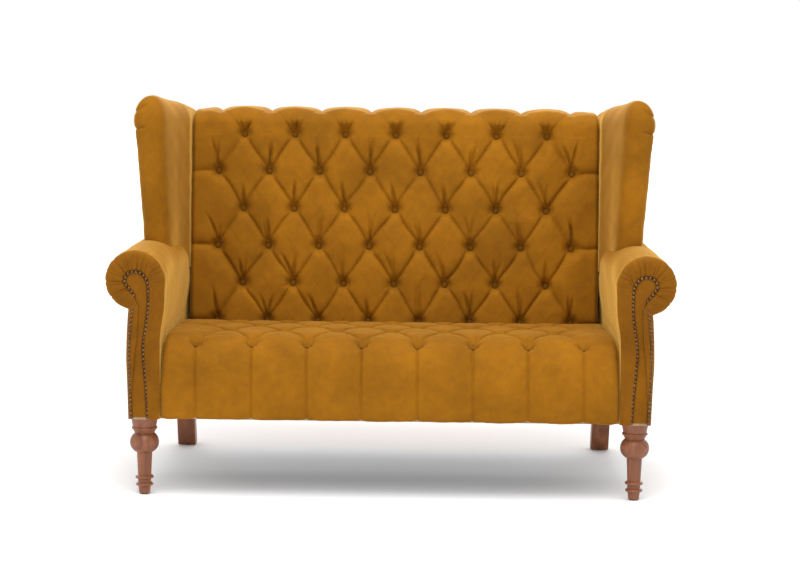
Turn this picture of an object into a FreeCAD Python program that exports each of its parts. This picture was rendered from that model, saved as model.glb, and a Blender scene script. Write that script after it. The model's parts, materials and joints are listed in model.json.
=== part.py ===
"""Two-seat wing-back sofa with scroll arms, deep-buttoned seat and back, and wooden legs.

Millimetres, +Z up, front towards -Y. The origin is on the floor, at the centre of the overall box.
Every driving size is one cell of the sheet "Sizes"; the pieces read it through expressions.
The right side (+X) is modelled and the left side is its mirror image.
"""
import FreeCAD, Part
import math
import os
import re

Vector = FreeCAD.Vector

SIZES = {
    # the whole sofa
    "overall_width": 1560,
    "overall_depth": 880,
    "leg_height": 215,
    "seat_height": 450,
    "arm_height": 682,
    "back_height": 1040,
    "wing_height": 1088,
    "back_rake": 7.5,
    # upholstery
    "cover_thickness": 2,
    "soft_clearance": 0.4,
    "seat_setback": 10,
    "arm_foot_tuck": 14,
    "arm_foot_rise": 60,
    "seat_edge_radius": 40,
    "seat_rear_radius": 36,
    "back_thickness": 205,
    "back_crown": 20,
    "back_roll_radius": 60,
    "back_roll_rear_radius": 35,
    "scroll_radius": 83,
    "scroll_overhang": 63,
    "scroll_padding": 12,
    "arm_foam_thickness": 25,
    "facing_thickness": 9,
    "dust_cover_thickness": 1.5,
    # wings
    "wing_front": 100,
    "wing_front_width": 52,
    "wing_flare": 22,
    "wing_nose_radius": 24,
    "wing_rear_drop": 50,
    "wing_throat": 118,
    # frame timber
    "rail_height": 95,
    "rail_thickness": 28,
    "post_width": 74,
    "post_depth": 45,
    "scroll_board_thickness": 20,
    "arm_rail_width": 70,
    "arm_rail_thickness": 25,
    "back_post_width": 45,
    "back_post_depth": 45,
    "back_rail_width": 45,
    "stile_width": 40,
    "stile_depth": 25,
    "wing_post_width": 28,
    "wing_post_depth": 40,
    "corner_block_leg": 70,
    # webbing
    "webbing_width": 50,
    "webbing_thickness": 2.5,
    "seat_strap_pitch": 128,
    "cross_strap_pitch": 140,
    "back_strap_pitch": 170,
    # buttons and nails
    "button_pitch": 152,
    "seat_row_pitch": 139,
    "back_row_pitch": 112.4,
    "button_radius": 10,
    "button_height": 7,
    "well_depth": 38,
    "well_mouth_radius": 30,
    "first_seat_row": 48,
    "top_back_row": 88,
    "nail_radius": 5.2,
    "nail_height": 4,
    "nail_shank_radius": 1,
    "nail_shank_length": 12,
    "nail_pitch": 11.6,
    "nail_edge": 5.6,
    # legs
    "leg_foot_radius": 15,
    "leg_bead_radius": 23.2,
    "leg_shaft_radius": 18.4,
    "leg_ball_radius": 31,
    "leg_ball_height": 54,
    "leg_neck_radius": 26.8,
    "leg_neck_drop": 44,
    "leg_collar_radius": 34.4,
    "leg_top_radius": 37.5,
    "front_leg_inset": 54,
    "front_leg_offset": 63,
    "rear_leg_offset": 29,
    "rear_leg_width": 54,
    "rear_leg_foot_width": 44,
    "rear_leg_splay": 78,
    "bolt_radius": 5,
    "bolt_up": 35,
    "bolt_down": 40,
    "socket_radius": 7.5,
    "socket_length": 25,
    "glide_radius": 12,
    "glide_thickness": 3,
}

doc = FreeCAD.newDocument("WingSofa")
sheet = doc.addObject("Spreadsheet::Sheet", "Sizes")
for row, (name, number) in enumerate(SIZES.items(), start=1):
    sheet.set(f"A{row}", str(number))
    sheet.setAlias(f"A{row}", name)
doc.recompute()
scratch = doc.addObject("Spreadsheet::Sheet", "Scratch")

# Places that several pieces share, as expressions over the sheet.
ARM_OUTER = "(overall_width / 2 - scroll_overhang)"
ARM_INNER = "(overall_width / 2 - 2 * scroll_radius)"
SCROLL_X = "(overall_width / 2 - scroll_radius)"
SCROLL_Z = "(arm_height - scroll_radius)"
FRONT = "(-overall_depth / 2 + nail_height)"
BOARD_FRONT = f"({FRONT} + facing_thickness)"
POST_FRONT = f"({BOARD_FRONT} + scroll_board_thickness)"
POST_OUTER = f"({ARM_OUTER} - cover_thickness)"
POST_INNER = f"({POST_OUTER} - post_width)"
BACK_POST_INNER = f"({POST_OUTER} - back_post_width)"
RAIL_TOP = "(leg_height + rail_height)"
WEB_TOP = f"({RAIL_TOP} + 2 * webbing_thickness)"
SEAT_FRONT = "(-overall_depth / 2 + seat_setback)"
ARM_FOOT = f"({ARM_INNER} + arm_foot_tuck)"
SEAT_HALF = f"({ARM_FOOT} - soft_clearance)"
BACK_HALF = f"({ARM_INNER} - 9)"
WING_INNER = f"({BACK_HALF} + soft_clearance)"
BACK_FOOT = "(overall_depth / 2 - (back_height - leg_height) * tan(back_rake))"
WEB_FRONT = "(-cover_thickness - back_post_depth - webbing_thickness)"
ARM_RAIL_BOTTOM = f"({SCROLL_Z} - arm_rail_thickness / 2)"
ARM_RAIL_TOP = f"({SCROLL_Z} + arm_rail_thickness / 2)"
ARM_FOAM_OUTER = f"({ARM_INNER} + cover_thickness + arm_foam_thickness)"
BACK_POST_LENGTH = "((back_height - 30 - leg_height) / cos(back_rake))"
WING_POST_TOP = "(back_height - 35)"
FRONT_LEG_X = f"({ARM_INNER} + front_leg_offset)"
FRONT_LEG_Y = f"({FRONT} + front_leg_inset)"
REAR_LEG_X = f"({ARM_INNER} + rear_leg_offset)"
REAR_LEG_Y = f"({BACK_FOOT} - cover_thickness - back_post_depth / 2)"


def expression(text):
    """text with each size's name pointing at its cell."""
    return re.sub(r"[a-z]+(?:_[a-z]+)*", lambda m: ("Sizes." + m[0]) if m[0] in SIZES else m[0], str(text))


def value(text):
    """The number that an expression comes to, worked out in one cell of the scratch sheet."""
    scratch.set("A1", "=" + expression(text))
    scratch.recompute()
    found = scratch.get("A1")
    return float(getattr(found, "Value", found))


def raked_y(up, depth):
    """Y of a point that lies up along the raked back and depth behind its rear face."""
    return f"({BACK_FOOT} + ({up}) * sin(back_rake) + ({depth}) * cos(back_rake))"


def raked_z(up, depth):
    return f"(leg_height + ({up}) * cos(back_rake) - ({depth}) * sin(back_rake))"


def plane_y(height, depth):
    """Y at a height, on the raked plane that lies depth behind the back's rear face."""
    return f"({BACK_FOOT} + ({height} - leg_height) * tan(back_rake) + ({depth}) / cos(back_rake))"


def bind_base(piece, x, y, z):
    for axis, text in zip("xyz", (x, y, z)):
        piece.setExpression(f".Placement.Base.{axis}", expression(text))


def new(kind, label):
    piece = doc.addObject(kind, re.sub(r"\W", "_", label))
    piece.Label = label
    return piece


def box(label, x, y, z, length, width, height):
    piece = new("Part::Box", label)
    piece.setExpression("Length", expression(length))
    piece.setExpression("Width", expression(width))
    piece.setExpression("Height", expression(height))
    bind_base(piece, x, y, z)
    return piece


def raked_box(label, x, depth, up, length, thick, tall):
    """A box in the raked frame: depth and thick run backwards, up and tall along the slope."""
    piece = box(label, x, raked_y(up, depth), raked_z(up, depth), length, thick, tall)
    piece.Placement.Rotation = FreeCAD.Rotation(Vector(-1, 0, 0), 1)
    piece.setExpression(".Placement.Rotation.Angle", expression("back_rake"))
    return piece


def cylinder(label, x, y, z, radius, height):
    piece = new("Part::Cylinder", label)
    piece.setExpression("Radius", expression(radius))
    piece.setExpression("Height", expression(height))
    bind_base(piece, x, y, z)
    return piece


def lying_cylinder(label, x, y, z, radius, length):
    """A cylinder that runs backwards, along +Y."""
    piece = cylinder(label, x, y, z, radius, length)
    piece.Placement.Rotation = FreeCAD.Rotation(Vector(-1, 0, 0), 90)
    return piece


def add_sketch(body, plane, points, arcs=None):
    """A closed outline. points are pairs of expressions; arcs maps the number of a segment to
    (centre x, centre y, radius, turn), where turn is 1 anticlockwise and -1 clockwise."""
    arcs = arcs or {}
    sketch = body.newObject("Sketcher::SketchObject", body.Name + "_outline")
    origin = next(f for f in body.Origin.OriginFeatures if f.Role == plane)
    sketch.AttachmentSupport = [(origin, "")]
    sketch.MapMode = "FlatFace"
    spots = [Vector(value(a), value(b), 0) for a, b in points]
    ends = []
    for i, start in enumerate(spots):
        end = spots[(i + 1) % len(spots)]
        if i not in arcs:
            sketch.addGeometry(Part.LineSegment(start, end), False)
            ends.append((1, 2))
            continue
        centre = Vector(value(arcs[i][0]), value(arcs[i][1]), 0)
        radius, turn = value(arcs[i][2]), arcs[i][3]
        first = math.atan2(start.y - centre.y, start.x - centre.x)
        last = math.atan2(end.y - centre.y, end.x - centre.x)
        sweep = (turn * (last - first)) % (2 * math.pi)
        middle = first + turn * sweep / 2
        through = centre + Vector(math.cos(middle), math.sin(middle), 0) * radius
        sketch.addGeometry(Part.Arc(start, through, end), False)
        ends.append((1, 2) if turn > 0 else (2, 1))
    for i in range(len(spots)):
        after = (i + 1) % len(spots)
        sketch.addConstraint(Part_constraint("Coincident", i, ends[i][1], after, ends[after][0]))
    for i, (a, b) in enumerate(points):
        for kind, text, spot, axis in (("DistanceX", a, spots[i].x, -2), ("DistanceY", b, spots[i].y, -1)):
            if str(text) == "0":
                sketch.addConstraint(Part_constraint("PointOnObject", i, ends[i][0], axis))
                continue
            at = sketch.addConstraint(Part_constraint(kind, -1, 1, i, ends[i][0], spot))
            sketch.setExpression(f"Constraints[{at}]", expression(text))
    for i, arc in arcs.items():
        at = sketch.addConstraint(Part_constraint("Radius", i, value(arc[2])))
        sketch.setExpression(f"Constraints[{at}]", expression(arc[2]))
    return sketch


def Part_constraint(*words):
    import Sketcher
    return Sketcher.Constraint(*words)


def prism(label, plane, points, start, length, arcs=None):
    """An outline drawn on a plane through the origin and padded along +X, +Y or +Z from start."""
    body = new("PartDesign::Body", label)
    sketch = add_sketch(body, plane, points, arcs)
    sign = "-" if plane == "XZ_Plane" else ""
    sketch.setExpression(".AttachmentOffset.Base.z", expression(f"{sign}({start})"))
    pad = body.newObject("PartDesign::Pad", body.Name + "_pad")
    pad.Profile = sketch
    pad.setExpression("Length", expression(length))
    pad.Reversed = plane == "XZ_Plane"
    doc.recompute()
    return body


def round_edges(body, radius, *spots):
    """Rounds the edges that run along X at the given (y, z) places, all to one radius."""
    solid = body.Shape
    names = []
    for number, edge in enumerate(solid.Edges, start=1):
        middle = edge.CenterOfMass
        along = edge.BoundBox.XLength > 0.9 * solid.BoundBox.XLength
        for y, z in spots:
            if along and abs(middle.y - value(y)) < 1 and abs(middle.z - value(z)) < 1:
                names.append(f"Edge{number}")
    base = body.Tip
    fillet = body.newObject("PartDesign::Fillet", f"{base.Name}_round")
    fillet.Base = (base, names)
    fillet.setExpression("Radius", expression(radius))
    body.Tip = fillet
    doc.recompute()
    return body


def cut(label, base, *tools):
    for number, tool in enumerate(tools, start=1):
        last = number == len(tools)
        piece = new("Part::Cut", label if last else f"{label}_cut_{number}")
        piece.Base, piece.Tool = base, tool
        base = piece
    return base


def fuse(label, *pieces):
    joined = new("Part::MultiFuse", label)
    joined.Shapes = list(pieces)
    return joined


def group(label, *pieces):
    """Several separate solids that make one named sub-part."""
    together = new("Part::Compound", label)
    together.Links = list(pieces)
    return together


def mirror(label, source):
    image = new("Part::Mirroring", label)
    image.Source = source
    image.Normal = Vector(1, 0, 0)
    image.Base = Vector(0, 0, 0)
    return image


def solids(label, shapes):
    """A group of small solids worked out from the sheet's numbers."""
    piece = new("Part::Feature", label)
    piece.Shape = Part.makeCompound(shapes)
    return piece


exports = []


def keep(piece):
    exports.append(piece)
    return piece


def pair(piece):
    """Keeps the right-hand piece and its mirror image."""
    stem = piece.Label
    piece.Label = stem + "_right"
    keep(piece)
    keep(mirror(stem + "_left", piece))
    return piece


# ---------------------------------------------------------------- frame
def seat_frame(rear_holes):
    rear_rail_y = f"({BACK_FOOT} - rail_thickness - 6)"
    front = keep(box("front_rail", f"-{POST_INNER}", POST_FRONT, "leg_height",
                     f"2 * {POST_INNER}", "rail_thickness", "rail_height"))
    rear_blank = box("rear_rail_blank", f"-{BACK_POST_INNER}", rear_rail_y, "leg_height",
                     f"2 * {BACK_POST_INNER}", "rail_thickness", "rail_height")
    holes = [piece for hole in rear_holes for piece in (hole, mirror(hole.Label + "_hole_left", hole))]
    keep(cut("rear_rail", rear_blank, *holes))
    side_y = f"({POST_FRONT} + post_depth)"
    side_blank = box("side_rail_blank", f"{POST_OUTER} - rail_thickness", side_y, "leg_height",
                     "rail_thickness", f"{BACK_FOOT} - {side_y}", "rail_height")
    cross_y = f"({POST_FRONT} + rail_thickness)"
    keep(box("centre_cross_rail", "-rail_thickness / 2", cross_y, "leg_height",
             "rail_thickness", f"{rear_rail_y} - {cross_y}", "rail_height * 0.7"))
    return front, rear_blank, side_blank


def front_post(bolt_hole):
    blank = box("arm_front_post_blank", POST_INNER, POST_FRONT, "leg_height",
                "post_width", "post_depth", f"{ARM_RAIL_BOTTOM} - leg_height")
    return pair(cut("arm_front_post", blank, *bolt_hole))


def scroll_outline(inset):
    """The arm's front outline: an upright with the scroll on top, drawn inwards by inset."""
    radius = f"(scroll_radius - {inset})"
    outer = f"({ARM_OUTER} - {inset})"
    inner = f"({ARM_INNER} + {inset})"
    foot = f"({ARM_FOOT} + {inset})"
    swell = f"(seat_height + {inset} / 4)"
    tuck = f"({SCROLL_Z} - sqrt(pow({radius}; 2) - pow({outer} - {SCROLL_X}; 2)))"
    points = [(foot, "leg_height"), (foot, swell), (inner, f"{swell} + arm_foot_rise"), (inner, SCROLL_Z),
              (outer, tuck), (outer, "leg_height")]
    return points, {3: (SCROLL_X, SCROLL_Z, radius, -1)}


def back_frame():
    post_blank = raked_box("back_post_blank", BACK_POST_INNER, "-cover_thickness - back_post_depth", "-12",
                           "back_post_width", "back_post_depth", f"{BACK_POST_LENGTH} + 12")
    under = box("below_frame", f"{BACK_POST_INNER} - 5", f"{BACK_FOOT} - 200", "leg_height - 60",
                "back_post_width + 10", "400", "60")
    post = pair(cut("back_post", post_blank, under))
    rail_width = f"2 * {BACK_POST_INNER}"
    rail = ("-cover_thickness - back_post_depth",)
    top = keep(raked_box("back_top_rail", f"-{BACK_POST_INNER}", *rail,
                         f"{BACK_POST_LENGTH} - back_rail_width", rail_width,
                         "back_post_depth", "back_rail_width"))
    low = keep(raked_box("back_stuffing_rail", f"-{BACK_POST_INNER}", *rail,
                         "seat_height - leg_height - back_rail_width", rail_width,
                         "back_post_depth", "back_rail_width"))
    stile_foot = "(seat_height - leg_height)"
    stiles = [raked_box(f"back_stile_{side}", f"{at} - stile_width / 2", "-cover_thickness - stile_depth",
                        stile_foot, "stile_width", "stile_depth",
                        f"{BACK_POST_LENGTH} - back_rail_width - {stile_foot}")
              for side, at in (("a", "-button_pitch * 1.5"), ("b", "button_pitch * 1.5"))]
    keep(group("back_stiles", *stiles))
    return post, top, low


def arm_rails(back_post):
    top_blank = box("arm_top_rail_blank", f"{SCROLL_X} - arm_rail_width / 2", POST_FRONT, ARM_RAIL_BOTTOM,
                    "arm_rail_width", f"{BACK_FOOT} + 60 - {POST_FRONT}", "arm_rail_thickness")
    behind = behind_back("behind_arm_rail", "-cover_thickness")
    top = pair(cut("arm_top_rail", top_blank, back_post, behind))
    low_y = f"({POST_FRONT} + post_depth)"
    low_blank = box("arm_stuffing_rail_blank", ARM_FOAM_OUTER, low_y, f"{WEB_TOP} + 12",
                    f"{POST_OUTER} - {ARM_FOAM_OUTER}", f"{BACK_FOOT} + 40 - {low_y}", "40")
    behind_low = behind_back("behind_stuffing_rail", "-cover_thickness - back_post_depth / 2")
    low = pair(cut("arm_stuffing_rail", low_blank, back_post, behind_low))
    return top, low


def behind_back(label, depth):
    """Everything that lies behind the raked plane at depth: a tool that trims pieces to the back."""
    return raked_box(label, "-overall_width", depth, "-400", "2 * overall_width", "900", "2200")


def wing_frame(back_post):
    post_x = f"({SCROLL_X} - 14)"
    post_y = f"(-wing_front + 26)"
    post = pair(box("wing_post", post_x, post_y, ARM_RAIL_TOP,
                    "wing_post_width", "wing_post_depth", f"{WING_POST_TOP} - {ARM_RAIL_TOP}"))
    rail_y = f"({post_y} + wing_post_depth)"
    blank = box("wing_top_rail_blank", f"{post_x} + 2", rail_y, f"{WING_POST_TOP} - back_rail_width",
                "wing_post_width - 8", f"overall_depth / 2 - {rail_y}", "back_rail_width")
    behind = behind_back("behind_wing_rail", "-cover_thickness - back_post_depth / 2")
    rail = pair(cut("wing_top_rail", blank, back_post, behind))
    return post, rail


def corner_blocks(rear_rail, back_post):
    rear_face = f"({BACK_FOOT} - rail_thickness - 6)"
    inner = f"({POST_OUTER} - rail_thickness)"
    front_face = f"({POST_FRONT} + rail_thickness)"
    post_back = f"({POST_FRONT} + post_depth)"
    front = prism("corner_block_front", "XY_Plane",
                  [(POST_INNER, front_face), (f"{POST_INNER} - corner_block_leg", front_face),
                   (inner, f"{front_face} + corner_block_leg + {inner} - {POST_INNER}"),
                   (inner, post_back), (POST_INNER, post_back)],
                  "leg_height", "rail_height - 25")
    rear_blank = prism("corner_block_rear_blank", "XY_Plane",
                       [(inner, f"{rear_face}"), (f"{inner} - corner_block_leg", f"{rear_face}"),
                        (inner, f"{rear_face} - corner_block_leg")],
                       "leg_height", "rail_height - 25")
    rear = cut("corner_block_rear", rear_blank, back_post, rear_rail)
    blocks = [front, mirror("corner_block_front_left", front), rear, mirror("corner_block_rear_left", rear)]
    return keep(group("corner_blocks", *blocks))


# ---------------------------------------------------------------- webbing
def strap_places(pitch, room):
    """Centres of the straps that fit symmetrically within room to each side."""
    count = int(value(room) // value(pitch))
    return [value(pitch) * i for i in range(-count, count + 1)]


def webbing():
    rear = f"({BACK_FOOT} - 6)"
    seat = [box(f"seat_strap_{i}", f"({x:.3f}) - webbing_width / 2", POST_FRONT, RAIL_TOP,
                "webbing_width", f"{rear} - {POST_FRONT}", "webbing_thickness")
            for i, x in enumerate(strap_places("seat_strap_pitch", f"{SEAT_HALF} - webbing_width"))]
    keep(group("seat_webbing", *seat))
    middle = f"(({POST_FRONT} + {rear}) / 2)"
    cross = [box(f"cross_strap_{i}", f"-({POST_OUTER} - 6)", f"{middle} + ({y:.3f}) - webbing_width / 2",
                 f"{RAIL_TOP} + webbing_thickness", f"2 * ({POST_OUTER} - 6)",
                 "webbing_width", "webbing_thickness")
             for i, y in enumerate(strap_places("cross_strap_pitch", "overall_depth / 2 - 2 * post_depth - 50"))]
    keep(group("seat_cross_webbing", *cross))
    foot = "(seat_height - leg_height - back_rail_width + 5)"
    back = [raked_box(f"back_strap_{i}", f"({x:.3f}) - webbing_width / 2", WEB_FRONT, foot, "webbing_width",
                      "webbing_thickness", f"{BACK_POST_LENGTH} - 5 - {foot}")
            for i, x in enumerate(strap_places("back_strap_pitch", f"{BACK_HALF} - webbing_width"))]
    keep(group("back_webbing", *back))


# ---------------------------------------------------------------- buttons and their wells
def row_places(even):
    """The buttons' X places in a row: eight, or seven set half a pitch across."""
    count = 8 if even else 7
    pitch = value("button_pitch")
    return [pitch * (i - (count - 1) / 2) for i in range(count)]


def seat_spots():
    """(place, outward direction) of each button on the seat, four rows from the front."""
    first = value(f"{SEAT_FRONT} + first_seat_row")
    top = value("seat_height")
    return [(Vector(x, first + row * value("seat_row_pitch"), top), Vector(0, 0, 1))
            for row in range(4) for x in row_places(row % 2 == 0)]


def back_spots():
    """(place, outward direction) of each button on the inside back, six rows from the top."""
    rake = math.radians(value("back_rake"))
    out = Vector(0, -math.cos(rake), math.sin(rake))
    top = value("(back_height - leg_height) / cos(back_rake) - top_back_row")
    found = []
    for row in range(6):
        up = top - row * value("back_row_pitch")
        y, z = value(raked_y(f"{up:.4f}", "-back_thickness")), value(raked_z(f"{up:.4f}", "-back_thickness"))
        found += [(Vector(x, y, z), out) for x in row_places(row % 2 == 1)]
    return found


def wells(label, spots, grow):
    """The dimples that the buttons pull into a pad, as cones; grow widens them by the cover."""
    depth, mouth, floor = value("well_depth"), value("well_mouth_radius"), value("button_radius + 1")
    extra = 12.0
    flare = (mouth - floor) / depth * extra
    shapes = [Part.makeCone(floor + grow, mouth + flare + grow, depth + extra + grow,
                            place - out * (depth + grow), out) for place, out in spots]
    return solids(label, shapes)


def buttons(label, spots):
    """Covered buttons: a domed cap that sits on the floor of its well."""
    radius, tall, depth = value("button_radius"), value("button_height"), value("well_depth")
    dome = (radius ** 2 + (tall / 2) ** 2) / tall
    shapes = []
    for place, out in spots:
        foot = place - out * depth
        disc = Part.makeCylinder(radius, tall / 2 + 0.01, foot, out)
        ball = Part.makeSphere(dome, foot + out * (tall - dome))
        cap = ball.common(Part.makeCylinder(radius, tall, foot + out * (tall / 2), out))
        shapes.append(disc.fuse(cap).removeSplitter())
    return keep(solids(label, shapes))


# ---------------------------------------------------------------- padding and covers
def seat_pad(label, inset, grow_bottom):
    """The seat's outline, drawn inwards by inset: flat top, rounded front edge, raked rear."""
    rear = f"-back_thickness - {inset} - soft_clearance"
    foot = grow_bottom
    front = f"({SEAT_FRONT} + {inset})"
    top = f"(seat_height - {inset})"
    points = [(front, foot), (front, top), (plane_y(top, rear), top), (plane_y(WEB_TOP, rear), WEB_TOP),
              (POST_FRONT, WEB_TOP), (POST_FRONT, foot)]
    half = f"({SEAT_HALF} - {inset})" if inset == "0" else SEAT_HALF
    body = prism(label, "YZ_Plane", points, f"-{half}", f"2 * {half}")
    round_edges(body, f"seat_edge_radius - {inset}", (front, top))
    return round_edges(body, f"seat_rear_radius - {inset}", (plane_y(top, rear), top))


def back_pad(label, inset):
    """The back's outline, drawn inwards by inset: raked front, rolled top that covers the top rail."""
    face = f"(-back_thickness + {inset})"
    rear = "(-cover_thickness)"
    top = f"(back_height + back_crown - {inset})"
    foot = WEB_TOP
    rail_top = raked_z(BACK_POST_LENGTH, "-cover_thickness - back_post_depth")
    points = [(plane_y(foot, WEB_FRONT), foot), (plane_y(foot, face), foot), (plane_y(top, face), top),
              (plane_y(top, f"{rear} - {inset}"), top), (plane_y(rail_top, f"{rear} - {inset}"), rail_top),
              (plane_y(rail_top, WEB_FRONT), rail_top)]
    body = prism(label, "YZ_Plane", points, f"-{BACK_HALF}", f"2 * {BACK_HALF}")
    round_edges(body, f"back_roll_radius - {inset}", (plane_y(top, face), top))
    return round_edges(body, f"back_roll_rear_radius - {inset}", (plane_y(top, f"{rear} - {inset}"), top))


def seat_upholstery():
    outer = seat_pad("seat_outer", "0", "leg_height")
    inner = seat_pad("seat_inner", "cover_thickness", "leg_height")
    spots = seat_spots()
    thick = value("cover_thickness")
    lining = wells("seat_wells_lined", spots, thick)
    well = wells("seat_wells", spots, 0)
    shell = cut("seat_shell", outer, inner)
    lined = new("Part::Common", "seat_well_linings")
    lined.Base, lined.Tool = outer, lining
    keep(cut("seat_cover", fuse("seat_shell_lined", shell, lined), well))
    split = box("above_webbing", "-overall_width", "-overall_depth", WEB_TOP,
                "2 * overall_width", "2 * overall_depth", "overall_depth")
    keep(cut("seat_front_pad", inner, split))
    upper = new("Part::Common", "seat_inner_top")
    upper.Base, upper.Tool = inner, split
    keep(cut("seat_foam", upper, lining))
    buttons("seat_buttons", spots)


def back_upholstery(post, top_rail, low_rail):
    outer = back_pad("back_outer", "0")
    inner = back_pad("back_inner", "cover_thickness")
    spots = back_spots()
    thick = value("cover_thickness")
    lining = wells("back_wells_lined", spots, thick)
    well = wells("back_wells", spots, 0)
    shell = cut("back_shell", outer, inner)
    lined = new("Part::Common", "back_well_linings")
    lined.Base, lined.Tool = outer, lining
    keep(cut("back_cover", fuse("back_shell_lined", shell, lined), well, top_rail))
    keep(cut("back_foam", inner, lining, top_rail))
    buttons("back_buttons", spots)
    keep(raked_box("outside_back_cover", f"-{ARM_OUTER}", "-cover_thickness", "0",
                   f"2 * {ARM_OUTER}", "cover_thickness", "(back_height - leg_height) / cos(back_rake)"))


def arm_upholstery(top_rail, front_post, back_post, low_rail, wing_post):
    behind = behind_back("behind_arm", "-cover_thickness")
    run = f"overall_depth / 2 + 20 - {BOARD_FRONT}"
    roll = lying_cylinder("arm_roll_blank", SCROLL_X, BOARD_FRONT, SCROLL_Z,
                          "scroll_radius - cover_thickness - soft_clearance", run)
    roll_room = lying_cylinder("arm_roll_room", SCROLL_X, f"{BOARD_FRONT} - 5", SCROLL_Z,
                               "scroll_radius - cover_thickness", f"{run} + 20")
    board = box("scroll_board_room", f"{ARM_INNER} - 20", f"{BOARD_FRONT} - 5", "0", "3 * scroll_radius",
                "scroll_board_thickness + 5", "2 * arm_height")
    pair(cut("arm_roll_foam", roll, board, behind, top_rail, front_post, back_post, wing_post))
    near, foot = f"({ARM_INNER} + cover_thickness)", f"({ARM_FOOT} + cover_thickness)"
    swell = "(seat_height + cover_thickness / 4)"
    side_blank = prism("arm_inside_foam_blank", "XZ_Plane",
                       [(foot, WEB_TOP), (foot, swell), (near, f"{swell} + arm_foot_rise"), (near, SCROLL_Z),
                        (ARM_FOAM_OUTER, SCROLL_Z), (ARM_FOAM_OUTER, WEB_TOP)], POST_FRONT, run)
    pair(cut("arm_inside_foam", side_blank, roll_room, behind, low_rail))
    points, arcs = scroll_outline("0")
    outline = prism("arm_outline", "XZ_Plane", points, BOARD_FRONT, run, arcs)
    inner_points, inner_arcs = scroll_outline("cover_thickness")
    core = prism("arm_core", "XZ_Plane", inner_points, f"{BOARD_FRONT} - 10", f"{run} + 20", inner_arcs)
    skin = cut("arm_skin", outline, core, behind)
    tuck = f"({SCROLL_Z} - sqrt(pow(scroll_radius; 2) - pow({ARM_OUTER} - {SCROLL_X}; 2)))"
    outside_room = box("outside_arm_room", f"{ARM_OUTER} - cover_thickness - 1", "-overall_depth", "0",
                       "200", "2 * overall_depth", tuck)
    below_seat = box("below_arm_cover", f"{ARM_INNER} - 10", "-overall_depth", "0",
                     "60", "2 * overall_depth", WEB_TOP)
    pair(cut("inside_arm_cover", skin, outside_room, below_seat, wing_post, back_post, low_rail))
    outside = new("Part::Common", "outside_arm_cover")
    outside.Base, outside.Tool = skin, outside_room
    pair(outside)
    return prism("arm_facing_blank", "XZ_Plane", points, FRONT, "facing_thickness", arcs)


def wing_block(label, inset):
    """The wing as a plan outline and a side outline, each drawn inwards by inset, in common."""
    flare = "wing_flare"
    front_inner = f"({ARM_OUTER} + {flare} - wing_front_width)"
    points = [(f"{front_inner} + {inset}", f"-wing_front + {inset}"),
              (f"{ARM_OUTER} + {flare} - {inset}", f"-wing_front + {inset}"),
              (f"{ARM_OUTER} - {inset}", "overall_depth / 2 + 10"),
              (f"{WING_INNER} + {inset}", "overall_depth / 2 + 10"),
              (f"{WING_INNER} + {inset}", f"{plane_y('seat_height', '-back_thickness')} + 30")]
    plan = prism(label + "_plan", "XY_Plane", points, SCROLL_Z, "wing_height")
    top = f"(wing_height - {inset})"
    rear = f"(-cover_thickness - {inset})"
    rear_top = f"(wing_height - wing_rear_drop - {inset})"
    side = prism(label + "_side", "YZ_Plane",
                 [(f"-wing_front + {inset}", SCROLL_Z), (f"-wing_front + {inset}", top),
                  ("-wing_front + wing_throat", top), (plane_y(rear_top, rear), rear_top),
                  (plane_y(SCROLL_Z, rear), SCROLL_Z)],
                 SEAT_HALF + " - 40", "400")
    round_edges(side, "wing_throat / 2 - 1", (f"-wing_front + {inset}", top))
    block = new("Part::Common", label)
    block.Base, block.Tool = plan, side
    return block


def wing_upholstery(wing_post, wing_rail, back_post, top_rail):
    outer = wing_block("wing_outer", "0")
    inner = wing_block("wing_inner", "cover_thickness")
    arm_room = lying_cylinder("arm_room", SCROLL_X, "-overall_depth", SCROLL_Z,
                              "scroll_radius + soft_clearance", "2 * overall_depth")
    pair(cut("wing_cover", outer, inner, arm_room, back_post, top_rail))
    pair(cut("wing_foam", inner, arm_room, wing_post, wing_rail, back_post, top_rail))


def dust_cover():
    half = f"({REAR_LEG_X} - rear_leg_width / 2 - 4)"
    keep(box("dust_cover", f"-{half}", f"{POST_FRONT} + 6", "leg_height - dust_cover_thickness",
             f"2 * {half}", f"{BACK_FOOT} - 12 - {POST_FRONT} - 6", "dust_cover_thickness"))


# ---------------------------------------------------------------- nails
# The studded line on the right arm's facing, from the inner foot over the scroll's head to the outer
# foot: (how far in from the line's outer edge, share of the height from the frame to the scroll's centre).
NAIL_LINE = [(50, 0.02), (46.5, 0.21), (40.5, 0.4), (38, 0.53), (47, 0.69), (52, 0.815), (52, 0.93),
             (49, 0.99), (36, 1.043), (14, 1.061), (-5.5, 1.041), (-12.5, 0.99), (-0.5, 0.94), (12.5, 0.89),
             (9, 0.8), (0.5, 0.61), (0, 0.47), (1.2, 0.21), (4.3, 0.02)]


def nail_path():
    """The studded line as short steps of a smooth curve through NAIL_LINE."""
    edge = value(f"{ARM_OUTER} - nail_edge")
    foot = value("leg_height")
    rise = value(SCROLL_Z) - foot
    knots = [(edge - inwards, foot + share * rise) for inwards, share in NAIL_LINE]
    ends = [knots[0]] + knots + [knots[-1]]
    points = []
    for p0, p1, p2, p3 in zip(ends, ends[1:], ends[2:], ends[3:]):
        for step in range(12):
            t = step / 12
            points.append(tuple(0.5 * (2 * b + (c - a) * t + (2 * a - 5 * b + 4 * c - d) * t ** 2
                                       + (3 * b - a - 3 * c + d) * t ** 3)
                                for a, b, c, d in zip(p0, p1, p2, p3)))
    return points + [knots[-1]]


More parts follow.
